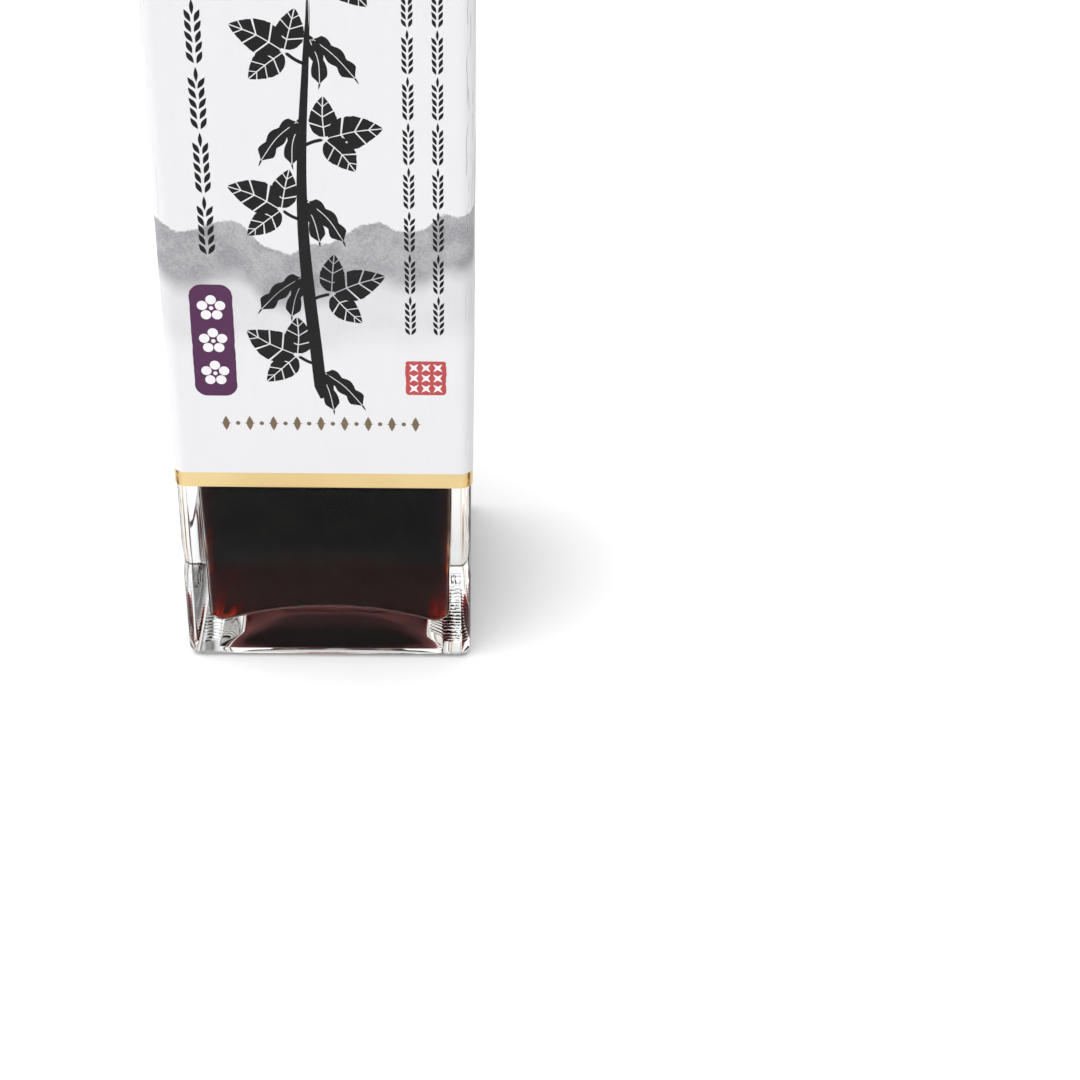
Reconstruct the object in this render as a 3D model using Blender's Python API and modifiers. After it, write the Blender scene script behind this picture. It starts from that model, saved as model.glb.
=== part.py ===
"""Square glass bottle of soy sauce: thick clear glass, dark sauce, wrap-round paper label and black screw cap.

Metres, +Z up. The origin is the middle of the ring that the bottle stands on, and the label's front faces -Y.
"""
import math

import bmesh
import bpy
from mathutils import Matrix, Vector

# Glass body, across the flats and up to where the shoulder starts
WIDTH = 0.056
CORNER_RADIUS = 0.0022
BODY_TOP = 0.1640

# Wall, thin under the shoulder and thick at the base, with a hollow of rounded square section
TOP_WALL = 0.0032
MIDDLE_WALL = 0.0037
BASE_WALL = 0.0042
MIDDLE_WALL_HEIGHT = 0.0420
INNER_CORNER_RADIUS = 0.0030

# Foot of the glass: rounded heel, the ring it stands on and the dome inside that ring
HEEL_RADIUS = 0.0020
STANDING_RING = 0.0040
STANDING_CORNER = 0.0024
PUSH_UP = 0.0021
PUSH_UP_FLAT = 0.0030

# Soft groove round the body, just above the thick base
GROOVE_HEIGHT = 0.0226
GROOVE_DEPTH = 0.00028
GROOVE_REACH = 0.0042

# Label panel, sunk a little so that the paper is hardly proud of the glass
PANEL_DEPTH = 0.0002
PANEL_BOTTOM = 0.0398
PANEL_TOP = 0.1610
PANEL_EDGE = 0.0006

# Floor of the hollow: lowest in the corners, higher along the middle of each side
FLOOR_HEIGHT = 0.0064
FLOOR_BOW = 0.0036
FLOOR_CROWN = 0.0006
FLOOR_RADIUS = 0.0024
FLOOR_FLAT = 0.0030

# Shoulder from the square body to the round neck, and the neck
SHOULDER_RISE = 0.0225
INNER_SHOULDER_DROP = 0.0024
SHOULDER_STEPS = 10
NECK_RADIUS = 0.0136
BORE_RADIUS = 0.0096
BEAD_RADIUS = 0.0152
BEAD_RISE = 0.0013
BEAD_HEIGHT = 0.0034
LIP_HEIGHT = 0.2115
LIP_ROUND = 0.0008

# Paper label and the gold bands along its lower and upper edge
LABEL_STAND_OFF = 0.0001
LABEL_THICKNESS = 0.00025
BAND_BOTTOM = 0.0408
BAND_TOP = 0.0440
LABEL_TOP = 0.1602
BAND_GAP = 0.0003

# Sauce
CLEARANCE = 0.0003
SAUCE_LEVEL = 0.1660

# Screw cap with its tamper ring
CAP_RADIUS = 0.0158
CAP_WALL = 0.0013
CAP_TOP_THICKNESS = 0.0014
CAP_BOTTOM = 0.1926
CAP_HEIGHT = 0.0207
CAP_EDGE = 0.0009
RING_HEIGHT = 0.0042
RING_GROOVE = 0.0004

# Fineness
ARC_STEPS = 4
SIDE_STEPS = 6
HEEL_STEPS = 4
FLOOR_STEPS = 5
GROOVE_STEPS = 4
CAP_STEPS = 48

HALF = WIDTH / 2
QUARTER = math.pi / 2
SHOULDER_TOP = BODY_TOP + SHOULDER_RISE
FLOOR_REACH = HALF - BASE_WALL - FLOOR_RADIUS


def clear_scene():
    for old in list(bpy.data.objects):
        bpy.data.objects.remove(old, do_unlink=True)


def make_collection(name):
    collection = bpy.data.collections.new(name)
    bpy.context.scene.collection.children.link(collection)
    return collection


def make_material(name, color, roughness, metallic=0.0, transmission=0.0, ior=1.45):
    material = bpy.data.materials.new(name)
    material.use_nodes = True
    shader = material.node_tree.nodes["Principled BSDF"]
    shader.inputs["Base Color"].default_value = (*color, 1.0)
    shader.inputs["Roughness"].default_value = roughness
    shader.inputs["Metallic"].default_value = metallic
    shader.inputs["Transmission Weight"].default_value = transmission
    shader.inputs["IOR"].default_value = ior
    return material


def add_object(name, mesh, collection, material, sharp_angle=35.0):
    mesh.materials.append(material)
    mesh.shade_smooth()
    mesh.set_sharp_from_angle(angle=math.radians(sharp_angle))
    piece = bpy.data.objects.new(name, mesh)
    collection.objects.link(piece)
    return piece


def floor_lift(x, y):
    """Height of the hollow's floor above its corners."""
    across = min(abs(x) / FLOOR_REACH, 1.0) ** 2
    along = min(abs(y) / FLOOR_REACH, 1.0) ** 2
    return FLOOR_BOW * (1 - across * along) + FLOOR_CROWN * (1 - across) * (1 - along)


def ring(half, corner, height, roundness=0.0, lift=0.0):
    """A rounded square, drawn towards a circle by roundness, and raised by a share of the floor's height."""
    reach = half - corner
    quarter = []
    for step in range(ARC_STEPS + 1):
        angle = QUARTER * step / ARC_STEPS
        quarter.append(Vector((reach + corner * math.cos(angle), reach + corner * math.sin(angle), height)))
    for step in range(1, SIDE_STEPS):
        along = 1 - 2 * step / SIDE_STEPS
        quarter.append(Vector((reach * along, half, height)))

    pitch = QUARTER / len(quarter)
    for index, point in enumerate(quarter):
        angle = QUARTER / 2 + (index - ARC_STEPS / 2) * pitch
        circle = Vector((half * math.cos(angle), half * math.sin(angle), point.z))
        quarter[index] = point.lerp(circle, roundness)
        quarter[index].z += lift * floor_lift(quarter[index].x, quarter[index].y)

    points = []
    for turn in range(4):
        rotation = Matrix.Rotation(QUARTER * turn, 3, "Z")
        points += [rotation @ point for point in quarter]
    return points


def inset_ring(inset, height):
    """A section of the square body, moved in from the outer faces by inset."""
    corner = max(CORNER_RADIUS - inset, 0.25 * CORNER_RADIUS)
    return ring(HALF - inset, corner, height)


def mix(start, end, share):
    return start + (end - start) * share


def smooth_step(share):
    return share * share * (3 - 2 * share)


def shoulder(lower_half, lower_corner, upper_radius, bottom, top, steps=SHOULDER_STEPS):
    """Sections of a smooth S-shaped shoulder from a rounded square at the bottom to a circle at the top."""
    sections = []
    for step in range(steps + 1):
        share = step / steps
        half = mix(upper_radius, lower_half, (1 + math.cos(math.pi * share)) / 2)
        corner = mix(lower_corner, half, share)
        sections.append(ring(half, corner, mix(bottom, top, share), roundness=smooth_step(share)))
    return sections


def loft(rings):
    """A closed mesh through the rings in turn, with a flat face across the first one and the last one."""
    mesh = bpy.data.meshes.new("loft")
    shape = bmesh.new()
    loops = [[shape.verts.new(point) for point in points] for points in rings]
    for near, far in zip(loops, loops[1:]):
        for index in range(len(near)):
            following = (index + 1) % len(near)
            shape.faces.new((near[index], near[following], far[following], far[index]))
    shape.faces.new(reversed(loops[0]))
    shape.faces.new(loops[-1])
    shape.to_mesh(mesh)
    shape.free()
    return mesh


def foot_rings():
    """From the middle of the hollow underside out to the standing ring and up round the heel."""
    inside = HALF - HEEL_RADIUS - STANDING_RING
    rings = []
    for step in range(FLOOR_STEPS + 1):
        share = step / FLOOR_STEPS
        half = mix(PUSH_UP_FLAT, inside, share)
        corner = mix(PUSH_UP_FLAT, STANDING_CORNER, share)
        rings.append(ring(half, corner, PUSH_UP * (1 - share ** 2), roundness=1 - share))
    for step in range(HEEL_STEPS + 1):
        angle = QUARTER * step / HEEL_STEPS
        inset = HEEL_RADIUS * (1 - math.sin(angle))
        rings.append(inset_ring(inset, HEEL_RADIUS * (1 - math.cos(angle))))
    return rings


def groove_rings():
    rings = []
    for step in range(GROOVE_STEPS + 1):
        share = 2 * step / GROOVE_STEPS - 1
        depth = GROOVE_DEPTH * (1 + math.cos(math.pi * share)) / 2
        rings.append(inset_ring(depth, GROOVE_HEIGHT + GROOVE_REACH * share))
    return rings


def panel_rings():
    return [
        inset_ring(0.0, PANEL_BOTTOM),
        inset_ring(PANEL_DEPTH, PANEL_BOTTOM + PANEL_EDGE),
        inset_ring(PANEL_DEPTH, PANEL_TOP - PANEL_EDGE),
        inset_ring(0.0, PANEL_TOP),
    ]


def neck_rings():
    """Neck with its bead, over the lip, and down the bore to the inner shoulder."""
    bead_bottom = SHOULDER_TOP + BEAD_RISE
    bead_round = 0.25 * BEAD_HEIGHT
    levels = [
        (NECK_RADIUS, bead_bottom),
        (BEAD_RADIUS, bead_bottom + bead_round),
        (BEAD_RADIUS, bead_bottom + BEAD_HEIGHT - bead_round),
        (NECK_RADIUS, bead_bottom + BEAD_HEIGHT),
        (NECK_RADIUS, LIP_HEIGHT - LIP_ROUND),
        (NECK_RADIUS - LIP_ROUND, LIP_HEIGHT),
        (BORE_RADIUS + LIP_ROUND, LIP_HEIGHT),
        (BORE_RADIUS, LIP_HEIGHT - LIP_ROUND),
    ]
    return [ring(radius, radius, height, roundness=1.0) for radius, height in levels]


def hollow_rings(clearance):
    """Down the hollow's walls, round its floor's edge and to the middle of the floor."""
    half = HALF - BASE_WALL - clearance
    corner = INNER_CORNER_RADIUS - clearance
    base = FLOOR_HEIGHT + clearance
    rings = [ring(HALF - MIDDLE_WALL - clearance, corner, MIDDLE_WALL_HEIGHT)]
    for step in range(HEEL_STEPS + 1):
        angle = QUARTER * step / HEEL_STEPS
        inset = FLOOR_RADIUS * (1 - math.cos(angle))
        height = base + FLOOR_RADIUS * (1 - math.sin(angle))
        rings.append(ring(half - inset, corner, height, lift=1.0))

    edge = half - FLOOR_RADIUS
    for step in range(1, FLOOR_STEPS + 1):
        share = step / FLOOR_STEPS
        half = mix(edge, FLOOR_FLAT, share)
        corner = mix(INNER_CORNER_RADIUS - clearance, FLOOR_FLAT, share)
        rings.append(ring(half, corner, base, roundness=share, lift=1.0))
    return rings


def inner_shoulder(clearance):
    half = HALF - TOP_WALL - clearance
    corner = INNER_CORNER_RADIUS - clearance
    bottom = BODY_TOP - INNER_SHOULDER_DROP - clearance
    top = SHOULDER_TOP - INNER_SHOULDER_DROP - clearance
    return shoulder(half, corner, BORE_RADIUS - clearance, bottom, top)


def make_bottle(collection):
    rings = foot_rings() + groove_rings() + panel_rings()
    rings += shoulder(HALF, CORNER_RADIUS, NECK_RADIUS, BODY_TOP, SHOULDER_TOP)
    rings += neck_rings()
    rings += reversed(inner_shoulder(0.0))
    rings += hollow_rings(0.0)
    glass = make_material("clear_glass", (0.97, 0.98, 0.98), 0.02, transmission=1.0, ior=1.52)
    return add_object("glass_bottle", loft(rings), collection, glass)


def make_sauce(collection):
    """The sauce fills the hollow up to its level, a hair clear of the glass."""
    rings = [points for points in inner_shoulder(CLEARANCE) if points[0].z < SAUCE_LEVEL]
    upper = [points for points in inner_shoulder(CLEARANCE) if points[0].z >= SAUCE_LEVEL][0]
    share = (SAUCE_LEVEL - rings[-1][0].z) / (upper[0].z - rings[-1][0].z)
    rings.append([low.lerp(high, share) for low, high in zip(rings[-1], upper)])
    rings = list(reversed(hollow_rings(CLEARANCE))) + rings
    sauce = make_material("soy_sauce", (0.030, 0.008, 0.004), 0.05, ior=1.38)
    return add_object("soy_sauce", loft(rings), collection, sauce)


def make_wrap(name, bottom, top, collection, material):
    """A thin sheet wrapped round the four sides of the body, from bottom to top."""
    half = HALF + LABEL_STAND_OFF
    corner = CORNER_RADIUS + LABEL_STAND_OFF
    mesh = bpy.data.meshes.new(name)
    sheet = bmesh.new()
    low = [sheet.verts.new(point) for point in ring(half, corner, bottom)]
    high = [sheet.verts.new(point) for point in ring(half, corner, top)]
    for index in range(len(low)):
        following = (index + 1) % len(low)
        sheet.faces.new((low[index], low[following], high[following], high[index]))
    sheet.to_mesh(mesh)
    sheet.free()
    piece = add_object(name, mesh, collection, material)
    solidify = piece.modifiers.new("thickness", "SOLIDIFY")
    solidify.thickness = LABEL_THICKNESS
    solidify.offset = 1.0
    solidify.use_even_offset = True
    return piece


def make_label(collection):
    paper = make_material("label_paper", (0.88, 0.89, 0.90), 0.60)
    gold = make_material("gold_foil", (0.72, 0.55, 0.24), 0.32, metallic=1.0)
    band_height = BAND_TOP - BAND_BOTTOM
    upper_band_bottom = LABEL_TOP - band_height
    make_wrap("gold_band_lower", BAND_BOTTOM, BAND_TOP, collection, gold)
    make_wrap("paper_label", BAND_TOP + BAND_GAP, upper_band_bottom - BAND_GAP, collection, paper)
    make_wrap("gold_band_upper", upper_band_bottom, LABEL_TOP, collection, gold)


def make_cap(collection):
    """A turned cap, open below, with the groove that parts it from its tamper ring."""
    top = CAP_BOTTOM + CAP_HEIGHT
    groove = CAP_BOTTOM + RING_HEIGHT
    inner = CAP_RADIUS - CAP_WALL
    profile = [
        (0.0, top),
        (CAP_RADIUS - CAP_EDGE, top),
        (CAP_RADIUS - 0.3 * CAP_EDGE, top - 0.3 * CAP_EDGE),
        (CAP_RADIUS, top - CAP_EDGE),
        (CAP_RADIUS, groove + RING_GROOVE),
        (CAP_RADIUS - RING_GROOVE, groove),
        (CAP_RADIUS, groove - RING_GROOVE),
        (CAP_RADIUS, CAP_BOTTOM),
        (inner, CAP_BOTTOM),
        (inner, top - CAP_TOP_THICKNESS),
        (0.0, top - CAP_TOP_THICKNESS),
    ]
    mesh = bpy.data.meshes.new("screw_cap")
    edges = [(index, index + 1) for index in range(len(profile) - 1)]
    mesh.from_pydata([(radius, 0.0, height) for radius, height in profile], edges, [])
    plastic = make_material("black_plastic", (0.012, 0.012, 0.013), 0.35)
    piece = add_object("screw_cap", mesh, collection, plastic)
    screw = piece.modifiers.new("turn", "SCREW")
    screw.axis = "Z"
    screw.steps = CAP_STEPS
    screw.render_steps = CAP_STEPS
    screw.use_merge_vertices = True
    screw.merge_threshold = 0.00001
    screw.use_smooth_shade = True
    return piece


def main():
    clear_scene()
    parts = make_collection("soy_sauce_bottle")
    make_bottle(parts)
    make_sauce(parts)
    make_label(parts)
    make_cap(parts)


main()
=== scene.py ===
"""Looks of a square glass bottle of soy sauce with a printed paper label, gold bands and a black screw cap.

Metres, +Z up. The label's front faces -Y. On the label, u runs round the bottle to the right, from 0 at the
middle of the front, and v is the height above the table.
"""
import math
import random

import bpy
from mathutils import Matrix, Vector, noise


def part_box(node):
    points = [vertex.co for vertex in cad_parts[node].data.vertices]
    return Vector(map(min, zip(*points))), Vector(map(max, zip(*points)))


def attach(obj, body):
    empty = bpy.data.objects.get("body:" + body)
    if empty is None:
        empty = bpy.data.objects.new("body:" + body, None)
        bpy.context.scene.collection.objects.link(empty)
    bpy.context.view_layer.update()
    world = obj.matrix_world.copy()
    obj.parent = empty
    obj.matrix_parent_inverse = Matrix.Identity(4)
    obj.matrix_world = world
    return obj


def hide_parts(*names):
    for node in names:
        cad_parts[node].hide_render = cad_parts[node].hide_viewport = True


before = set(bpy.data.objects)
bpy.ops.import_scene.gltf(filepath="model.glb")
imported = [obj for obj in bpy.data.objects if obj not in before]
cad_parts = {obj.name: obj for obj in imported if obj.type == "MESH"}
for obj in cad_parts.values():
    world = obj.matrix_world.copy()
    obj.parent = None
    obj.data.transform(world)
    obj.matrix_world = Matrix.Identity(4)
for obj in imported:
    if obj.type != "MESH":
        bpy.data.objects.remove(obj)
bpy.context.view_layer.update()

MM = 0.001
QUARTER = math.pi / 2

GLASS_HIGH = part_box("glass_bottle")[1]
SAUCE_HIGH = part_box("soy_sauce")[1]
BAND_LOW, BAND_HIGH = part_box("gold_band_lower")
UPPER_BAND_LOW, UPPER_BAND_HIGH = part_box("gold_band_upper")
CAP_LOW, CAP_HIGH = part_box("screw_cap")

# Glass body
HALF = GLASS_HIGH.x
CORNER_RADIUS = 2.2 * MM
HEEL_RADIUS = 2.0 * MM
STANDING_RING = 4.0 * MM
STANDING_CORNER = 2.4 * MM
PUSH_UP = 2.5 * MM
PUSH_UP_FLAT = 3.0 * MM
GROOVE_HEIGHT = 22.6 * MM
GROOVE_DEPTH = 0.28 * MM
GROOVE_REACH = 4.2 * MM
BODY_TOP = 164.0 * MM
SHOULDER_RISE = 22.5 * MM
SHOULDER_TOP = BODY_TOP + SHOULDER_RISE
NECK_RADIUS = 13.6 * MM
BORE_RADIUS = 9.6 * MM
BEAD_RADIUS = 15.2 * MM
BEAD_RISE = 1.3 * MM
BEAD_HEIGHT = 3.4 * MM
LIP_HEIGHT = GLASS_HIGH.z
LIP_ROUND = 0.8 * MM

# Ridges pressed into the ring that the bottle stands on
RIDGE_HEIGHT = 0.30 * MM
RIDGE_WANDER = 4.0 * MM
LEFT_RIDGE_SHARE = 0.35
RIDGE_PITCH = 1.9 * MM
RIDGE_START = 5.0 * MM
RIDGE_FADE = 3.0 * MM

# Hollow of the glass
TOP_WALL = 3.2 * MM
MIDDLE_WALL = 3.7 * MM
BASE_WALL = 4.2 * MM
MIDDLE_WALL_HEIGHT = 42.0 * MM
INNER_CORNER_RADIUS = 3.0 * MM
INNER_SHOULDER_DROP = 2.4 * MM
FLOOR_HEIGHT = 6.4 * MM
FLOOR_BOW = 3.6 * MM
FLOOR_CROWN = 0.6 * MM
FLOOR_RADIUS = 2.4 * MM
FLOOR_FLAT = 3.0 * MM
FLOOR_REACH = HALF - BASE_WALL - FLOOR_RADIUS
FLOOR_TOP = FLOOR_HEIGHT + FLOOR_BOW + FLOOR_CROWN + 1 * MM

# Unevenness of the blown glass: depth and size of its slow ripples
INNER_RIPPLE = (0.08 * MM, 16 * MM)
OUTER_RIPPLE = (0.015 * MM, 22 * MM)

# Sauce: it reaches a hair into the wall, and creeps up the glass at its edge
SAUCE_LEVEL = SAUCE_HIGH.z
SAUCE_INTO_WALL = 0.006 * MM
SURFACE_LIFT = 0.01 * MM
MENISCUS_RISE = 1.1 * MM
MENISCUS_WIDTH = 2.4 * MM
SAUCE_COLOR = (0.83, 0.50, 0.0, 1)
SAUCE_DENSITY = 1600.0
SAUCE_IOR = 1.38

# Look of the glass
GLASS_COLOR = (0.92, 0.935, 0.94, 1)
GLASS_SHINE = (0.17, 0.17, 0.17, 1)
GLASS_IOR = 1.52
GLASS_UNDER_SAUCE = GLASS_IOR / SAUCE_IOR
GLASS_SMUDGE = 0.03
# Painted red light: the tint that the glass under the sauce gives where its reflection is weak
PAINTED_RED_REFLECTION = (0.95, 0.30, 0.30, 1)
FLOOR_NORMAL = 0.6

# Painted glow in the sauce: the share of a red-brown diffuse colour mixed into it, and where; it stands in
# for light reaching the lowest sauce and the sauce by the side walls
PAINTED_GLOW_COLOR = (0.75, 0.10, 0.08, 1)
LOW_PAINTED_GLOW = 0.020
SIDE_PAINTED_GLOW = 0.011
GLOW_TOP = 25.5 * MM
GLOW_FADE = 4 * MM
GLOW_ARCH = 4.5 * MM
GLOW_SIDE = 20.8 * MM
GLOW_SIDE_FADE = 1.5 * MM

# Label
PAPER_INSIDE = 0.16 * MM
PAPER_OUTSIDE = 0.32 * MM
PAPER_REACH = HALF - CORNER_RADIUS
PAPER_ARC = QUARTER * (CORNER_RADIUS + PAPER_OUTSIDE)
FACE_PITCH = 2 * PAPER_REACH + PAPER_ARC

# Ink: how far it stands out from the paper, and how far each shape stands out from the one before
INK_LIFT = 0.006 * MM
LAYERS = 29
LAYER_LIFT = 0.00035 * MM

# Lap of the label, in millimetres like all that is printed, but for its lift
LAP_WIDTH = 7.0
LAP_FROM_CORNER = 1.5
LAP_SHADOW = 0.16
LAP_LIFT = 0.4 * INK_LIFT

# Fineness of the lofts, with the heights of their plain sections in millimetres
FOOT_LEVELS = (3.6, 5, 8, 12, 16)
BODY_LEVELS = range(30, 162, 6)
WALL_LEVELS = (150, 130, 110, 90, 75, 60, 50)
ARC_STEPS = 12
SIDE_STEPS = 96
SHOULDER_STEPS = 28
SHARP_ANGLE = math.radians(40)


def mix(start, end, share):
    return start + (end - start) * share


def smooth_step(share):
    return share * share * (3 - 2 * share)


# Camera, floor and light

CAMERA_PLACE = (30.29 * MM, -406.88 * MM, 289.46 * MM)
CAMERA_PITCH = math.radians(34.51)
CAMERA_YAW = math.radians(1.67)
CAMERA_ROLL = math.radians(1.38)
CAMERA_LENS = 79.42
SENSOR_WIDTH = 36.0
TABLE_REACH = 6.0
TABLE_GAP = 0.05 * MM


def make_camera():
    data = bpy.data.cameras.new("camera")
    data.lens = CAMERA_LENS
    data.sensor_width = SENSOR_WIDTH
    data.clip_start = 0.01
    data.clip_end = 50.0
    camera = bpy.data.objects.new("camera", data)
    turn = Matrix.Rotation(-CAMERA_YAW, 4, "Z")
    tilt = Matrix.Rotation(QUARTER - CAMERA_PITCH, 4, "X")
    roll = Matrix.Rotation(CAMERA_ROLL, 4, "Z")
    camera.matrix_world = Matrix.Translation(CAMERA_PLACE) @ turn @ tilt @ roll
    bpy.context.scene.collection.objects.link(camera)
    bpy.context.scene.camera = camera


def new_material(name):
    """A node material; returns it with its node tree and its Principled shader."""
    material = bpy.data.materials.new(name)
    material.use_nodes = True
    tree = material.node_tree
    return material, tree, tree.nodes["Principled BSDF"]


def add_node(tree, kind, inputs=(), **settings):
    node = tree.nodes.new(kind)
    for name, value in settings.items():
        setattr(node, name, value)
    for name, value in dict(inputs).items():
        if isinstance(value, bpy.types.NodeSocket):
            tree.links.new(value, node.inputs[name])
        else:
            node.inputs[name].default_value = value
    return node


def noise_field(tree, vector, scale, detail):
    """A smooth random field about 0.5."""
    return add_node(tree, "ShaderNodeTexNoise", {
        "Vector": vector,
        "Scale": scale,
        "Detail": detail,
    }).outputs["Fac"]


def math_node(tree, operation, *values):
    return add_node(tree, "ShaderNodeMath", enumerate(values), operation=operation).outputs[0]


def ramp(tree, value, low, high, start=0.0, end=1.0):
    """Start below low, end above high, and smooth between them."""
    return add_node(tree, "ShaderNodeMapRange", {
        "Value": value,
        "From Min": low,
        "From Max": high,
        "To Min": start,
        "To Max": end,
    }, interpolation_type="SMOOTHSTEP").outputs["Result"]


def blend(tree, share, first, second):
    node = add_node(tree, "ShaderNodeMix", {"Factor": share}, data_type="RGBA")
    for socket, value in ((node.inputs[6], first), (node.inputs[7], second)):
        if isinstance(value, bpy.types.NodeSocket):
            tree.links.new(value, socket)
        else:
            socket.default_value = value
    return node.outputs[2]


def stretched(tree, vector, scale):
    return add_node(tree, "ShaderNodeMapping", {"Vector": vector, "Scale": scale}).outputs["Vector"]


def make_floor():
    mesh = bpy.data.meshes.new("floor")
    corners = [(x * TABLE_REACH, y * TABLE_REACH, 0) for x, y in ((-1, -1), (1, -1), (1, 1), (-1, 1))]
    mesh.from_pydata(corners, [], [(0, 1, 2, 3)])
    floor = bpy.data.objects.new("floor", mesh)
    floor.location.z = -TABLE_GAP
    bpy.context.scene.collection.objects.link(floor)
    material, tree, shader = new_material("white_table")
    shader.inputs["Base Color"].default_value = (0.97, 0.97, 0.97, 1)
    shader.inputs["Roughness"].default_value = 0.8
    shader.inputs["Specular IOR Level"].default_value = 0.2
    mesh.materials.append(material)


# Light of the studio along each axis: the strength at one end and at the other
WORLD_LEFT_RIGHT = (1.13, 0.315)
WORLD_FRONT_BACK = (1.06, 0.58)
WORLD_LEVEL_TOP = (0.62, 3.00)


def make_world():
    """A soft white studio, brighter at the left, at the front and at the top."""
    world = bpy.data.worlds.new("studio")
    world.use_nodes = True
    bpy.context.scene.world = world
    tree = world.node_tree
    place = add_node(tree, "ShaderNodeTexCoord")
    axes = add_node(tree, "ShaderNodeSeparateXYZ", {"Vector": place.outputs["Generated"]})
    strength = None
    for axis, start, (low, high) in (("X", -0.9, WORLD_LEFT_RIGHT), ("Y", -0.9, WORLD_FRONT_BACK),
                                     ("Z", 0.0, WORLD_LEVEL_TOP)):
        level = add_node(tree, "ShaderNodeMapRange", {
            "Value": axes.outputs[axis],
            "From Min": start,
            "From Max": 0.9,
            "To Min": low,
            "To Max": high,
        }, interpolation_type="SMOOTHSTEP").outputs["Result"]
        strength = math_node(tree, "MULTIPLY", strength, level) if strength else level
    background = tree.nodes["Background"]
    background.inputs["Color"].default_value = (1, 1, 1, 1)
    tree.links.new(strength, background.inputs["Strength"])


def set_look():
    scene = bpy.context.scene
    scene.view_settings.view_transform = "Standard"
    scene.view_settings.look = "None"
    scene.cycles.max_bounces = 32
    scene.cycles.transmission_bounces = 32
    scene.cycles.glossy_bounces = 16
    scene.cycles.diffuse_bounces = 6


# Lofted shapes

def floor_lift(x, y):
    """Height of the hollow's floor above its corners."""
    across = min(abs(x) / FLOOR_REACH, 1.0) ** 2
    along = min(abs(y) / FLOOR_REACH, 1.0) ** 2
    return FLOOR_BOW * (1 - across * along) + FLOOR_CROWN * (1 - across) * (1 - along)


def ring(half, corner, height, roundness=0.0, lift=0.0):
    """A rounded square, drawn towards a circle by roundness, and raised by a share of the floor's lift."""
    reach = half - corner
    quarter = []
    for step in range(ARC_STEPS + 1):
        angle = QUARTER * step / ARC_STEPS
        x = reach + corner * math.cos(angle)
        y = reach + corner * math.sin(angle)
        quarter.append(Vector((x, y, height)))
    for step in range(1, SIDE_STEPS):
        along = 1 - 2 * step / SIDE_STEPS
        quarter.append(Vector((reach * along, half, height)))

    if roundness > 0:
        pitch = QUARTER / len(quarter)
        for index, point in enumerate(quarter):
            angle = QUARTER / 2 + (index - ARC_STEPS / 2) * pitch
            circle = Vector((half * math.cos(angle), half * math.sin(angle), point.z))
            quarter[index] = point.lerp(circle, roundness)
    if lift > 0:
        for point in quarter:
            point.z += lift * floor_lift(point.x, point.y)

    points = []
    for turn in range(4):
        rotation = Matrix.Rotation(QUARTER * turn, 3, "Z")
        points += [rotation @ point for point in quarter]
    return points


def inset_ring(inset, height):
    """A section of the square body, moved in from the outer faces by inset."""
    corner = max(CORNER_RADIUS - inset, 0.25 * CORNER_RADIUS)
    return ring(HALF - inset, corner, height)


def shoulder(lower_half, lower_corner, upper_radius, bottom, top):
    """Sections of a smooth S-shaped shoulder from a rounded square at the bottom to a circle at the top."""
    sections = []
    for step in range(SHOULDER_STEPS + 1):
        share = step / SHOULDER_STEPS
        half = mix(upper_radius, lower_half, (1 + math.cos(math.pi * share)) / 2)
        corner = mix(lower_corner, half, share)
        sections.append(ring(half, corner, mix(bottom, top, share), roundness=smooth_step(share)))
    return sections


def add_piece(name, points, faces, material, smooth=True):
    mesh = bpy.data.meshes.new(name)
    mesh.from_pydata(points, [], faces)
    mesh.materials.append(material)
    if smooth:
        mesh.shade_smooth()
        mesh.set_sharp_from_angle(angle=SHARP_ANGLE)
    mesh.update()
    piece = bpy.data.objects.new(name, mesh)
    bpy.context.scene.collection.objects.link(piece)
    return piece


def skin(rings, first_closed=True, last_closed=True):
    """Points and faces through the rings in turn, with a flat face across the closed ends."""
    count = len(rings[0])
    points = [point for section in rings for point in section]
    faces = []
    for level in range(len(rings) - 1):
        near = level * count
        far = near + count
        for index in range(count):
            following = (index + 1) % count
            faces.append((near + index, near + following, far + following, far + index))
    if first_closed:
        faces.append(tuple(reversed(range(count))))
    if last_closed:
        faces.append(tuple(range(len(points) - count, len(points))))
    return points, faces


# Glass

def rippled(section, depth_and_size):
    """The section with the slow unevenness of blown glass, along the way out from the middle."""
    depth, size = depth_and_size
    moved = []
    for point in section:
        outward = Vector((point.x, point.y, 0)).normalized()
        moved.append(point + outward * depth * noise.noise(point / size))
    return moved


def ridge_lift(section, share):
    """Ridges across the standing ring at left and right: share is 0 at its edges and 1 on its middle."""
    lifted = []
    for point in section:
        uneven = noise.noise(Vector((point.y / RIDGE_WANDER, point.x / RIDGE_WANDER, 0)))
        wave = 0.5 - 0.5 * math.cos(2 * math.pi * (point.y / RIDGE_PITCH + 0.3 * uneven))
        from_corner = abs(point.x) - abs(point.y) - RIDGE_START
        side = smooth_step(min(max(from_corner / RIDGE_FADE, 0.0), 1.0))
        if point.x < 0:
            side *= LEFT_RIDGE_SHARE
        height = RIDGE_HEIGHT * (1 + 0.3 * uneven)
        lifted.append(point + Vector((0, 0, height * share * side * wave ** 2)))
    return lifted


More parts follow.
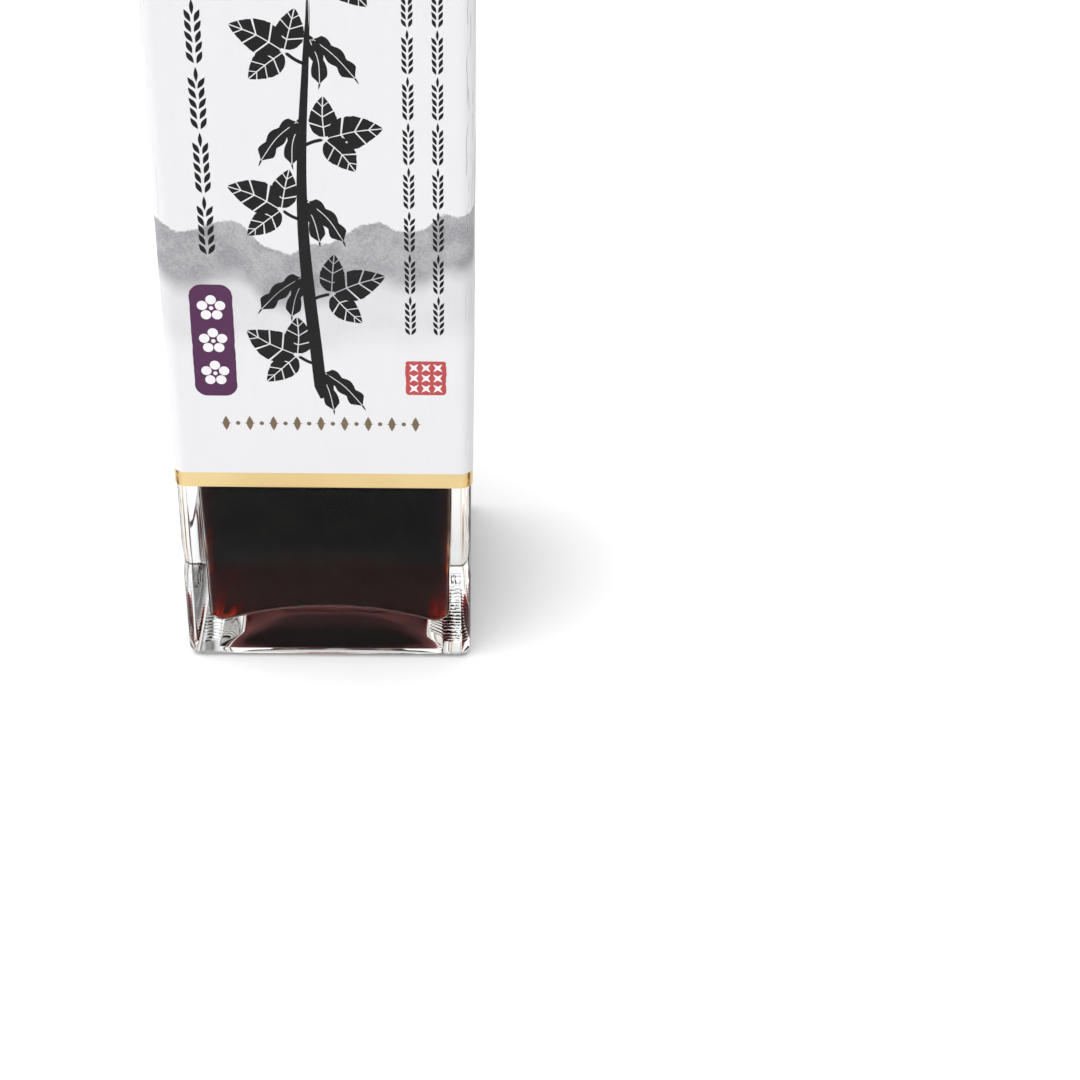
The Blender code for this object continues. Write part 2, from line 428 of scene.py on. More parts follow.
def foot_rings():
    """From the middle of the hollow underside out over the standing ring and up round the heel."""
    inside = HALF - HEEL_RADIUS - STANDING_RING
    rings = []
    for step in range(9):
        share = step / 8
        half = mix(PUSH_UP_FLAT, inside, share)
        corner = mix(PUSH_UP_FLAT, STANDING_CORNER, share)
        rings.append(ring(half, corner, PUSH_UP * (1 - share ** 2), roundness=1 - share))
    for step in range(1, 9):
        share = step / 9
        section = inset_ring(HEEL_RADIUS + STANDING_RING * (1 - share), 0.0)
        rings.append(ridge_lift(section, math.sin(math.pi * share)))
    for step in range(11):
        angle = QUARTER * step / 10
        inset = HEEL_RADIUS * (1 - math.sin(angle))
        section = inset_ring(inset, HEEL_RADIUS * (1 - math.cos(angle)))
        rings.append(ridge_lift(section, 0.6 * math.sin(2 * angle)))
    return rings


def side_rings():
    rings = [inset_ring(0.0, height * MM) for height in FOOT_LEVELS]
    for step in range(17):
        share = step / 8 - 1
        depth = GROOVE_DEPTH * (1 + math.cos(math.pi * share)) / 2
        rings.append(inset_ring(depth, GROOVE_HEIGHT + GROOVE_REACH * share))
    rings += [inset_ring(0.0, height * MM) for height in BODY_LEVELS]
    rings.append(inset_ring(0.0, BODY_TOP - 1 * MM))
    return rings


def neck_rings():
    bead_bottom = SHOULDER_TOP + BEAD_RISE
    levels = [(NECK_RADIUS, bead_bottom - 0.4 * MM)]
    for step in range(13):
        angle = math.pi * step / 12
        radius = NECK_RADIUS + (BEAD_RADIUS - NECK_RADIUS) * math.sin(angle) ** 0.6
        levels.append((radius, bead_bottom + BEAD_HEIGHT * (1 - math.cos(angle)) / 2))
    levels += [
        (NECK_RADIUS, bead_bottom + BEAD_HEIGHT + 0.5 * MM),
        (NECK_RADIUS, LIP_HEIGHT - LIP_ROUND),
        (NECK_RADIUS - 0.3 * LIP_ROUND, LIP_HEIGHT - 0.3 * LIP_ROUND),
        (NECK_RADIUS - LIP_ROUND, LIP_HEIGHT),
        (BORE_RADIUS + LIP_ROUND, LIP_HEIGHT),
        (BORE_RADIUS, LIP_HEIGHT - LIP_ROUND),
        (BORE_RADIUS, mix(SHOULDER_TOP, LIP_HEIGHT, 0.5)),
        (BORE_RADIUS, SHOULDER_TOP + 1 * MM),
    ]
    return [ring(radius, radius, height, roundness=1.0) for radius, height in levels]


def inner_shoulder(clearance):
    half = HALF - TOP_WALL - clearance
    corner = INNER_CORNER_RADIUS - clearance
    bottom = BODY_TOP - INNER_SHOULDER_DROP - clearance
    top = SHOULDER_TOP - INNER_SHOULDER_DROP - clearance
    return shoulder(half, corner, BORE_RADIUS - clearance, bottom, top)


def hollow_rings(clearance):
    """Down the hollow's walls, round its floor's edge and to the middle of the floor."""
    corner = INNER_CORNER_RADIUS - clearance
    base_half = HALF - BASE_WALL - clearance
    base = FLOOR_HEIGHT + clearance
    rings = []
    for height in WALL_LEVELS:
        share = (height * MM - MIDDLE_WALL_HEIGHT) / (BODY_TOP - MIDDLE_WALL_HEIGHT)
        rings.append(ring(HALF - mix(MIDDLE_WALL, TOP_WALL, share) - clearance, corner, height * MM))
    floor_top = base + FLOOR_RADIUS
    for step in range(10):
        share = step / 10
        half = mix(HALF - MIDDLE_WALL - clearance, base_half, smooth_step(share))
        height = mix(MIDDLE_WALL_HEIGHT, floor_top, share)
        rings.append(ring(half, corner, height, lift=share))
    for step in range(13):
        angle = QUARTER * step / 12
        inset = FLOOR_RADIUS * (1 - math.cos(angle))
        height = base + FLOOR_RADIUS * (1 - math.sin(angle))
        rings.append(ring(base_half - inset, corner, height, lift=1.0))
    edge = base_half - FLOOR_RADIUS
    for step in range(1, 13):
        share = step / 12
        half = mix(edge, FLOOR_FLAT, share)
        rings.append(ring(half, mix(corner, FLOOR_FLAT, share), base, roundness=share, lift=1.0))
    return rings


def glass_material(name, ior, smudge):
    """Clear glass with a slow waviness; smudge is the roughness of the faint marks that handling leaves."""
    material, tree, shader = new_material(name)
    place = add_node(tree, "ShaderNodeTexCoord").outputs["Object"]
    shader.inputs["Roughness"].default_value = 0.0
    if smudge > 0:
        marks = ramp(tree, noise_field(tree, place, 70, 3.0), 0.48, 0.66, 0.0, smudge)
        tree.links.new(marks, shader.inputs["Roughness"])
    wavy = noise_field(tree, place, 110, 1.0)
    bump = add_node(tree, "ShaderNodeBump", {"Height": wavy, "Strength": 0.25, "Distance": 0.02 * MM})
    tree.links.new(bump.outputs["Normal"], shader.inputs["Normal"])
    shader.inputs["Base Color"].default_value = GLASS_COLOR
    shader.inputs["Transmission Weight"].default_value = 1.0
    shader.inputs["IOR"].default_value = ior
    shader.inputs["Specular Tint"].default_value = GLASS_SHINE
    return material


def floor_material():
    """The glass that the sauce stands on: where its reflection is weak, what it reflects and passes gets a
    painted red tint that stands in for red light through the sauce; full reflections stay clear.
    """
    material, tree, shader = new_material("clear_glass_floor")
    mirrored = add_node(tree, "ShaderNodeFresnel", {"IOR": GLASS_UNDER_SAUCE}).outputs["Fac"]
    # Painted red light: weak reflections and the light passed with them are tinted red
    color = blend(tree, ramp(tree, mirrored, 0.5, 0.95), PAINTED_RED_REFLECTION, (1, 1, 1, 1))
    glass = add_node(tree, "ShaderNodeBsdfGlass", {
        "Color": color,
        "Roughness": 0.0,
        "IOR": GLASS_UNDER_SAUCE,
    })
    tree.links.new(glass.outputs["BSDF"], tree.nodes["Material Output"].inputs["Surface"])
    tree.nodes.remove(shader)
    return material


def make_glass():
    outside = foot_rings() + [rippled(section, OUTER_RIPPLE) for section in side_rings()]
    outside += shoulder(HALF, CORNER_RADIUS, NECK_RADIUS, BODY_TOP, SHOULDER_TOP)
    outside += neck_rings()
    inside = list(reversed(inner_shoulder(0.0))) + hollow_rings(0.0)
    inside = [rippled(section, INNER_RIPPLE) for section in inside]
    points, faces = skin(outside + inside)
    clear = glass_material("clear_glass", GLASS_IOR, GLASS_SMUDGE)
    piece = add_piece("bottle_glass", points, faces, clear)
    piece.data.materials.append(glass_material("clear_glass_wetted", GLASS_UNDER_SAUCE, 0.0))
    piece.data.materials.append(floor_material())
    first_inside = len(outside) * len(outside[0])
    for face in piece.data.polygons:
        if min(face.vertices) >= first_inside and face.center.z < SAUCE_LEVEL + MENISCUS_RISE:
            on_floor = face.center.z < FLOOR_TOP and face.normal.z > FLOOR_NORMAL
            face.material_index = 2 if on_floor else 1
    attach(piece, "root")
    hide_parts("glass_bottle")


# Sauce

def surface_rings(wall_ring):
    """The top of the sauce from the wall inward: it stands a little higher where it clings to the glass."""
    rings = []
    for step in range(1, 9):
        share = step / 8
        inset = MENISCUS_WIDTH * share
        height = SAUCE_LEVEL + MENISCUS_RISE * (1 - share) ** 2.4
        scale = 1 - inset / wall_ring[0].to_2d().length
        rings.append([Vector((point.x * scale, point.y * scale, height)) for point in wall_ring])
    for scale in (0.6, 0.3):
        rings.append([Vector((point.x * scale, point.y * scale, SAUCE_LEVEL)) for point in wall_ring])
    return rings


def sauce_side_rings():
    rings = list(reversed(hollow_rings(-SAUCE_INTO_WALL)))
    edge = SAUCE_LEVEL + MENISCUS_RISE
    shoulder_rings = inner_shoulder(-SAUCE_INTO_WALL)
    below = [section for section in shoulder_rings if section[0].z < edge]
    above = shoulder_rings[len(below)]
    share = (edge - below[-1][0].z) / (above[0].z - below[-1][0].z)
    top = [low.lerp(high, share) for low, high in zip(below[-1], above)]
    return [rippled(section, INNER_RIPPLE) for section in rings + below + [top]]


def add_painted_glow(tree, shader):
    """Painted red-brown glow: a diffuse colour mixed into the lowest sauce, below an arch, and near the
    left and right walls.
    """
    place = add_node(tree, "ShaderNodeTexCoord").outputs["Object"]
    axes = add_node(tree, "ShaderNodeSeparateXYZ", {"Vector": place}).outputs
    across = math_node(tree, "POWER", math_node(tree, "DIVIDE", axes["X"], HALF - BASE_WALL), 2.0)
    level = math_node(tree, "MULTIPLY_ADD", across, GLOW_ARCH, axes["Z"])
    low = ramp(tree, level, GLOW_TOP - GLOW_FADE, GLOW_TOP, LOW_PAINTED_GLOW, 0.0)
    side = math_node(tree, "ABSOLUTE", axes["X"])
    side = ramp(tree, side, GLOW_SIDE, GLOW_SIDE + GLOW_SIDE_FADE, 0.0, SIDE_PAINTED_GLOW)
    share = math_node(tree, "MAXIMUM", low, side)
    # Painted glow: a red-brown diffuse colour, mixed in where the mask above says
    painted_glow = add_node(tree, "ShaderNodeBsdfDiffuse", {"Color": PAINTED_GLOW_COLOR})
    mixed = add_node(tree, "ShaderNodeMixShader", {
        0: share,
        1: shader.outputs["BSDF"],
        2: painted_glow.outputs["BSDF"],
    })
    tree.links.new(mixed.outputs["Shader"], tree.nodes["Material Output"].inputs["Surface"])


def make_sauce():
    side = sauce_side_rings()
    points, faces = skin(side + surface_rings(side[-1]))
    material, tree, shader = new_material("soy_sauce")
    shader.inputs["Base Color"].default_value = (1, 1, 1, 1)
    shader.inputs["Transmission Weight"].default_value = 1.0
    shader.inputs["Roughness"].default_value = 0.0
    shader.inputs["IOR"].default_value = 1.0
    absorption = add_node(tree, "ShaderNodeVolumeAbsorption", {
        "Color": SAUCE_COLOR,
        "Density": SAUCE_DENSITY,
    })
    tree.links.new(absorption.outputs["Volume"], tree.nodes["Material Output"].inputs["Volume"])
    add_painted_glow(tree, shader)
    piece = add_piece("soy_sauce_body", points, faces, material)
    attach(piece, "root")
    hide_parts("soy_sauce")

    sheet = [[point + Vector((0, 0, SURFACE_LIFT)) for point in section]
             for section in [side[-1]] + surface_rings(side[-1])]
    points, faces = skin(sheet, first_closed=False)
    material, tree, shader = new_material("sauce_surface")
    place = add_node(tree, "ShaderNodeTexCoord").outputs["Object"]
    swell = noise_field(tree, place, 130, 1.0)
    bump = add_node(tree, "ShaderNodeBump", {"Height": swell, "Strength": 0.3, "Distance": 0.05 * MM})
    tree.links.new(bump.outputs["Normal"], shader.inputs["Normal"])
    shader.inputs["Base Color"].default_value = (1, 1, 1, 1)
    shader.inputs["Transmission Weight"].default_value = 1.0
    shader.inputs["Roughness"].default_value = 0.0
    shader.inputs["IOR"].default_value = SAUCE_IOR
    piece = add_piece("sauce_surface", points, faces, material)
    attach(piece, "root")


# Label

def wrap_ring(stand_off, height):
    return ring(HALF + stand_off, CORNER_RADIUS + stand_off, height)


def make_wrap(name, bottom, top, inside, outside, material):
    rings = [
        wrap_ring(inside, bottom),
        wrap_ring(outside, bottom),
        wrap_ring(outside, top),
        wrap_ring(inside, top),
        wrap_ring(inside, bottom),
    ]
    points, faces = skin(rings, first_closed=False, last_closed=False)
    piece = add_piece(name, points, faces, material)
    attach(piece, "root")
    return piece


PAPER_COLOR = (0.67, 0.668, 0.682, 1)
WASH_COLOR = (0.240, 0.238, 0.255, 1)
PALE_WASH_COLOR = (0.56, 0.555, 0.575, 1)
GOLD_COLOR = (0.69, 0.547, 0.283, 1)
GOLD_SHADE = (0.61, 0.440, 0.204, 1)
# Painted reflections on the gold: an orange-brown round each bent corner and a dark line along it
GOLD_CORNER_REFLECTION = (0.60, 0.34, 0.12, 1)
GOLD_DARK_REFLECTION = (0.12, 0.055, 0.02, 1)

# Washes of thin grey ink on the paper: height of the upper edge, depth, size and fineness of its waves
DARK_WASH = (96.0 * MM, 9.0 * MM, 8.0 * MM, 46.64)
PALE_WASH = (88.0 * MM, 12.0 * MM, 5.0 * MM, 45.92)

# Creases along a bent corner: place across it in millimetres, and fineness
CREASES = ((-0.9, 70), (-0.1, 95), (0.8, 120), (1.9, 85))
CREASE_WANDER = 2.4 * MM
# Painted shade in the creases: how far they darken the paper's colour
CREASE_SHADE = 0.65


def wash_share(tree, place, height, wash, grain):
    """How much of one wash lies on the paper: a hilly upper edge, a soft lower one, and dry grain."""
    top, depth, wave, fineness = wash
    flat = stretched(tree, place, (1, 1, 0))
    hill = noise_field(tree, flat, fineness, 2.0)
    edge = math_node(tree, "MULTIPLY_ADD", hill, 4 * wave, top - 2 * wave)
    fringe = math_node(tree, "MULTIPLY", grain, 0.9 * MM)
    below = math_node(tree, "SUBTRACT", math_node(tree, "ADD", edge, fringe), height)
    upper = ramp(tree, below, 0.2 * MM, 0.75 * MM)
    lower = ramp(tree, below, depth, 1.6 * depth, 1.0, 0.0)
    return math_node(tree, "MULTIPLY", upper, lower)


def corner_creases(tree, place):
    """Thin creases that wander along the bent corners, stronger towards the top and the right side."""
    axes = add_node(tree, "ShaderNodeSeparateXYZ", {"Vector": place}).outputs
    turn = math_node(tree, "SUBTRACT", math_node(tree, "ABSOLUTE", axes["X"]),
                     math_node(tree, "ABSOLUTE", axes["Y"]))
    creases = None
    for middle, fineness in CREASES:
        wander = noise_field(tree, stretched(tree, place, (fineness / 2, fineness / 2, fineness)), 1.0, 3.0)
        side = math_node(tree, "MULTIPLY_ADD", wander, CREASE_WANDER, -CREASE_WANDER / 2 - middle * MM)
        away = math_node(tree, "ABSOLUTE", math_node(tree, "ADD", turn, side))
        thin = ramp(tree, away, 0.02 * MM, 0.11 * MM, 1.0, 0.0)
        broken = ramp(tree, noise_field(tree, place, 1.6 * fineness, 2.0), 0.46, 0.56)
        crease = math_node(tree, "MULTIPLY", thin, broken)
        creases = math_node(tree, "MAXIMUM", creases, crease) if creases else crease
    upper = ramp(tree, axes["Z"], 88 * MM, 104 * MM, 0.25, 1.0)
    # The creases grow stronger from the left side of the front to the right
    rightward = ramp(tree, axes["X"], -PAPER_REACH, PAPER_REACH, 0.35, 1.0)
    return math_node(tree, "MULTIPLY", creases, math_node(tree, "MULTIPLY", upper, rightward))


def paper_material():
    material, tree, shader = new_material("label_paper")
    place = add_node(tree, "ShaderNodeTexCoord").outputs["Object"]
    height = add_node(tree, "ShaderNodeSeparateXYZ", {"Vector": place}).outputs["Z"]
    grain = noise_field(tree, place, 2600, 2.0)
    patches = noise_field(tree, place, 260, 4.0)
    color = PAPER_COLOR
    for wash, tint, strength in ((PALE_WASH, PALE_WASH_COLOR, 0.8), (DARK_WASH, WASH_COLOR, 1.0)):
        share = wash_share(tree, place, height, wash, grain)
        uneven = math_node(tree, "ADD", ramp(tree, grain, 0.35, 0.65, -0.10, 0.06),
                           ramp(tree, patches, 0.3, 0.7, 0.74, 0.98))
        share = math_node(tree, "MULTIPLY", share, math_node(tree, "MULTIPLY", uneven, strength))
        color = blend(tree, share, color, tint)
    fibres = noise_field(tree, stretched(tree, place, (900, 900, 120)), 1.0, 4.0)
    creases = corner_creases(tree, place)
    # The creases darken the paper's colour, painted shade in them; the fibres vary its tone a little
    shade = math_node(tree, "SUBTRACT", ramp(tree, fibres, 0.3, 0.7, 0.985, 1.0),
                      math_node(tree, "MULTIPLY", creases, CREASE_SHADE))
    shaded = add_node(tree, "ShaderNodeVectorMath", {0: color, 1: shade}, operation="MULTIPLY").outputs[0]
    tree.links.new(shaded, shader.inputs["Base Color"])
    rough = ramp(tree, fibres, 0.3, 0.7, 0.50, 0.66)
    tree.links.new(rough, shader.inputs["Roughness"])
    relief = math_node(tree, "SUBTRACT", fibres, math_node(tree, "MULTIPLY", creases, 2.0))
    bump = add_node(tree, "ShaderNodeBump", {"Height": relief, "Strength": 0.10, "Distance": 0.02 * MM})
    tree.links.new(bump.outputs["Normal"], shader.inputs["Normal"])
    return material


def foil_material():
    """Gold foil: brushed lines along the band, a slow change of tone, a painted reflection round each
    corner with a painted dark reflection line, broken up by noise, along it.
    """
    material, tree, shader = new_material("gold_foil")
    place = add_node(tree, "ShaderNodeTexCoord").outputs["Object"]
    brushed = noise_field(tree, stretched(tree, place, (60, 60, 6000)), 1.0, 3.0)
    slow = noise_field(tree, place, 45, 2.0)
    share = math_node(tree, "MULTIPLY_ADD", brushed, 0.15, ramp(tree, slow, 0.3, 0.7, 0.0, 0.65))
    color = blend(tree, share, GOLD_COLOR, GOLD_SHADE)
    axes = add_node(tree, "ShaderNodeSeparateXYZ", {"Vector": place}).outputs
    inner = math_node(tree, "MINIMUM", math_node(tree, "ABSOLUTE", axes["X"]),
                      math_node(tree, "ABSOLUTE", axes["Y"]))
    # Painted reflection: the gold turns orange-brown round each bent corner
    bend = ramp(tree, inner, PAPER_REACH + 0.3 * MM, PAPER_REACH + 1.6 * MM, 0.0, 0.55)
    color = blend(tree, bend, color, GOLD_CORNER_REFLECTION)
    # Painted dark reflection: a broken dark line along each corner
    broken_up = ramp(tree, noise_field(tree, place, 900, 3.0), 0.35, 0.6, 0.35, 0.95)
    dark_line_place = ramp(tree, inner, PAPER_REACH + 1.35 * MM, PAPER_REACH + 1.7 * MM)
    dark_reflection_line = math_node(tree, "MULTIPLY", dark_line_place, broken_up)
    color = blend(tree, dark_reflection_line, color, GOLD_DARK_REFLECTION)
    tree.links.new(color, shader.inputs["Base Color"])
    shader.inputs["Metallic"].default_value = 1.0
    tree.links.new(ramp(tree, brushed, 0.3, 0.7, 0.30, 0.42), shader.inputs["Roughness"])
    bump = add_node(tree, "ShaderNodeBump", {"Height": brushed, "Strength": 0.06, "Distance": 0.02 * MM})
    tree.links.new(bump.outputs["Normal"], shader.inputs["Normal"])
    return material


def ink_material(name, color, thin_color):
    """Printing ink: dense, with thinner grainy patches."""
    material, tree, shader = new_material(name)
    place = add_node(tree, "ShaderNodeTexCoord").outputs["Object"]
    speckle = noise_field(tree, place, 3200, 2.0)
    patches = noise_field(tree, place, 240, 3.0)
    share = math_node(tree, "MULTIPLY", ramp(tree, speckle, 0.45, 0.75),
                      ramp(tree, patches, 0.4, 0.75, 0.15, 1.0))
    tree.links.new(blend(tree, share, color, thin_color), shader.inputs["Base Color"])
    tree.links.new(ramp(tree, speckle, 0.3, 0.7, 0.38, 0.55), shader.inputs["Roughness"])
    shader.inputs["Specular IOR Level"].default_value = 0.12
    return material


# Printed shapes: places on the label are (u, v), and these sizes and those in the calls are millimetres

BRISTLE_PITCH = 0.24
MIDRIB_HALF = 0.10
SEAM_HALF = 0.07
EAR_ROWS = 6


def wrap_point(u, v, lift):
    """The place of u and v, both in metres, on the wrapped paper, with lift out from the glass."""
    turns, along = divmod(u + PAPER_REACH, FACE_PITCH)
    if along <= 2 * PAPER_REACH:
        point = Vector((along - PAPER_REACH, -HALF - lift, v))
    else:
        angle = QUARTER * (along - 2 * PAPER_REACH) / PAPER_ARC
        radius = CORNER_RADIUS + lift
        point = Vector((PAPER_REACH + radius * math.sin(angle), -PAPER_REACH - radius * math.cos(angle), v))
    return Matrix.Rotation(QUARTER * turns, 3, "Z") @ point


class Ink:
    """Flat shapes of one ink, laid on the paper as one mesh; each lies a hair above the one before."""

    def __init__(self):
        self.points = []
        self.lifts = []
        self.faces = []
        self.shapes = 0

    def strip(self, near, far):
        """Fill between two lines with as many points each."""
        first = len(self.points)
        count = len(near)
        self.points += list(near) + list(far)
        self.lifts += [LAYER_LIFT * (self.shapes % LAYERS)] * (2 * count)
        self.shapes += 1
        for index in range(count - 1):
            a = first + index
            corners = (a, a + 1, a + count + 1, a + count)
            area = 0.0
            for here, there in zip(corners, corners[1:] + corners[:1]):
                near_point, far_point = self.points[here], self.points[there]
                area += near_point.x * far_point.y - far_point.x * near_point.y
            self.faces.append(corners if area > 0 else corners[::-1])

    def lay(self, name, material, lift):
        """Wrap the shapes round the bottle, lifted off the paper, as one piece."""
        places = [wrap_point(u * MM, v * MM, PAPER_OUTSIDE + lift + extra)
                  for (u, v), extra in zip(self.points, self.lifts)]
        piece = add_piece(name, places, self.faces, material, smooth=False)
        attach(piece, "root")


def curve_through(controls, steps=12):
    """A smooth line through the control places."""
    ends = [2 * controls[0] - controls[1]] + controls + [2 * controls[-1] - controls[-2]]
    line = []
    for a, b, c, d in zip(ends, ends[1:], ends[2:], ends[3:]):
        for step in range(steps):
            t = step / steps
            line.append(0.5 * (2 * b + (c - a) * t + (2 * a - 5 * b + 4 * c - d) * t ** 2
                               + (3 * b - a - 3 * c + d) * t ** 3))
    return line + [controls[-1]]


def side_line(line, distances):
    """The line moved to its left, by a distance for each of its points."""
    moved = []
    for index, point in enumerate(line):
        along = (line[min(index + 1, len(line) - 1)] - line[max(index - 1, 0)]).normalized()
        moved.append(point + distances[index] * Vector((-along.y, along.x)))
    return moved


def heading(degrees):
    return Vector((math.cos(math.radians(degrees)), math.sin(math.radians(degrees))))


def brush_stroke(ink, controls, width, dry, rng, lift_off, press=0.10):
    """A stroke of a wet brush that runs dry: bristle lines that merge at its start and part at its end."""
    line = curve_through([Vector(place) for place in controls])
    bristles = max(3, round(width / BRISTLE_PITCH))
    for bristle in range(bristles):
        across = (bristle + 0.5) / bristles - 0.5
        end = 1 - dry * rng.random() * (0.35 + 1.3 * abs(across))
        thinning = rng.uniform(0.26, 0.56)
        last = max(int(end * (len(line) - 1)), 2)
        middle, half = [], []
        for index in range(last + 1):
            share = index / (len(line) - 1)
            pressure = min(1, 0.25 + 0.75 * share / press) * min(1, ((1 - share) / lift_off) ** 0.6 + 0.04)
            wet = 0.68 - thinning * smooth_step(min(1, max(0, share - 1 + dry) / max(dry, 0.01)))
            fade = min(1, (last - index) / 3 + 0.15)
            middle.append(across * width * pressure)
            half.append(width * pressure * wet * fade / bristles)
        part = line[:last + 1]
        ink.strip(side_line(part, [m + h for m, h in zip(middle, half)]),
                  side_line(part, [m - h for m, h in zip(middle, half)]))


def beside(line, share, distance):
    """The place at a share of the line's length, moved to its left by the distance."""
    index = min(int(share * (len(line) - 1)), len(line) - 2)
    within = share * (len(line) - 1) - index
    along = (line[index + 1] - line[index]).normalized()
    return line[index].lerp(line[index + 1], within) + distance * Vector((-along.y, along.x))


def leaf(ink, base, angle, length, width, rng):
    """A pointed leaf in brushed patches, parted along its midrib and its side veins."""
    bend = rng.uniform(-12, 12)
    middle = base + heading(angle) * length * 0.5
    tip = middle + heading(angle + bend) * length * 0.5
    rib = curve_through([base, middle, tip], 16)
    patches = 4
    for side in (1, -1):
        wide = width * rng.uniform(0.46, 0.54)
        for patch in range(patches):
            start = patch / patches + 0.022
            end = (patch + 1) / patches - 0.006
            near, far = [], []
            for step in range(7):
                share = mix(start, end, step / 6)
                swept = min(1.0, share + 0.16 * math.sin(math.pi * share))
                spread = wide * math.sin(math.pi * swept ** 0.72) ** 0.8
                if spread > 0.2:
                    spread *= 1 + rng.uniform(-0.03, 0.03)
                near.append(beside(rib, share, side * MIDRIB_HALF))
                far.append(beside(rib, swept, side * max(spread, 0.06)))
            ink.strip(near, far)


def pod(ink, base, angle, length, width, beans, rng):
    """A bean pod that swells over each bean, parted along its seam, with a short stalk and a fine tip."""
    droop = rng.uniform(8, 16) * (1 if math.cos(math.radians(angle)) < 0 else -1)
    start = base + heading(angle) * length * 0.12
    middle = start + heading(angle + droop / 2) * length * 0.42
    tip = middle + heading(angle + droop * 1.6) * length * 0.46
    line = curve_through([start, middle, tip], 14)
    for side in (1, -1):
        outer = []
        for index in range(len(line)):
            share = index / (len(line) - 1)
            swell = 0.66 + 0.34 * abs(math.sin(beans * math.pi * share))
            ends = min(1.0, share / 0.08 + 0.1) * min(1.0, ((1 - share) / 0.16) ** 0.8 + 0.05)
            outer.append(side * max(width / 2 * swell * ends, SEAM_HALF + 0.03))
        ink.strip(side_line(line, [side * SEAM_HALF] * len(line)), side_line(line, outer))
    brush_stroke(ink, [base, start], 0.45, 0.0, rng, lift_off=0.05)
    point = tip + heading(angle + droop * 2.5) * 0.12 * length
    brush_stroke(ink, [tip, point], 0.3, 0.0, rng, lift_off=0.9)


def trifoliate(ink, base, angle, size, rng):
    """A leaf stalk with its three leaves."""
    top = base + heading(angle) * size * 0.42
    bowed = base.lerp(top, 0.5) + heading(angle + 90) * 0.2
    brush_stroke(ink, [base, bowed, top], 0.55, 0.1, rng, lift_off=0.1)
    leaf(ink, top + heading(angle) * 0.5, angle + rng.uniform(-6, 6), size, size * 0.62, rng)
    for side in (1, -1):
        foot = top + heading(angle + side * 60) * 0.3
        leaf(ink, foot, angle + side * rng.uniform(64, 76), size * 0.78, size * 0.50, rng)


# Parts of the sprig: share of the stem's height, side and kind
SPRIG_PARTS = ((0.08, 1, "pods"), (0.09, -1, "leaves"), (0.24, 1, "leaves"), (0.31, -1, "pods"),
               (0.43, -1, "leaves"), (0.48, 1, "pods"), (0.60, 1, "leaves"), (0.66, -1, "pods"),
               (0.78, -1, "leaves"), (0.84, 1, "pods"), (0.93, 1, "leaves"))


def bean_sprig(ink, middle, bottom, top, size, rng):
    """A stem with leaves and pods on both sides, drawn as with a wet brush."""
    stem = []
    for step in range(9):
        share = step / 8
        sway = 0.13 * size * math.sin(2.3 + 5.4 * share)
        stem.append(Vector((middle + sway, mix(bottom, top, share))))
    brush_stroke(ink, stem, 0.22 * size, 0.25, rng, press=0.03, lift_off=0.8)
    line = curve_through(stem, 12)
    for share, side, kind in SPRIG_PARTS:
        base = line[int(share * (len(line) - 1))]
        outward = 0 if side > 0 else 180
        if kind == "leaves":
            trifoliate(ink, base, outward + side * rng.uniform(20, 36), size, rng)
        else:
            pod(ink, base, outward - side * rng.uniform(28, 38), 1.12 * size, 0.32 * size, 3, rng)
            pod(ink, base, outward - side * rng.uniform(60, 70), 0.92 * size, 0.28 * size, 2, rng)
    trifoliate(ink, line[-1], 84, 0.8 * size, rng)


def grain(ink, middle, angle, length, width):
    """A slim grain, pointed at both ends."""
    along = heading(angle)
    line = [middle + along * length * (step / 6 - 0.5) for step in range(7)]
    half = [width / 2 * max(math.sin(math.pi * step / 6), 0.08) for step in range(7)]
    ink.strip(side_line(line, half), side_line(line, [-distance for distance in half]))


def wheat_column(ink, u, bottom, top, size, rng):
    """Ears of wheat one above the other: pairs of slanting grains, with a gap after each ear."""
    v = bottom
    row = 0
    while v < top:
        ends_ear = row % EAR_ROWS == EAR_ROWS - 1
        if ends_ear:
            grain(ink, Vector((u, v + 0.3 * size)), 90, 0.9 * size, 0.24 * size)
        else:
            for side in (1, -1):
                place = Vector((u + side * 0.27 * size, v + 0.4 * size))
                grain(ink, place, 90 - side * rng.uniform(22, 34), 0.80 * size, 0.30 * size)
        v += 0.62 * size * (1.5 if ends_ear else 1)
        row += 1


def disc(ink, middle, radius):
    angles = [math.pi * step / 10 for step in range(11)]
    ink.strip([middle + radius * Vector((-math.cos(a), math.sin(a))) for a in angles],
              [middle + radius * Vector((-math.cos(a), -math.sin(a))) for a in angles])


def blossom(ink, middle, size):
    """The old round blossom of five petals round a small centre."""
    for petal in range(5):
        disc(ink, middle + heading(90 + 72 * petal) * 0.34 * size, 0.19 * size)
    disc(ink, middle, 0.08 * size)


def rounded_field(ink, middle, half_width, half_height, radius, rough):
    """A filled rectangle with round corners; rough makes its edge a little uneven, like a stamp's."""
    straight = half_height - radius
    corner = []
    for step in range(9):
        angle = QUARTER * step / 8
        corner.append((straight + radius * math.sin(angle), radius * (1 - math.cos(angle))))
    levels = [(-level, inset) for level, inset in reversed(corner)]
    levels += [(mix(-straight, straight, step / 20), 0.0) for step in range(1, 20)]
    levels += corner
    left, right = [], []
    for level, inset in levels:
        shake = rough * noise.noise(Vector((level * 1.7, middle.x, 0)))
        reach = max(half_width - inset + shake, 0.02)
        left.append(middle + Vector((-reach, level)))
        right.append(middle + Vector((reach, level)))
    ink.strip(left, right)


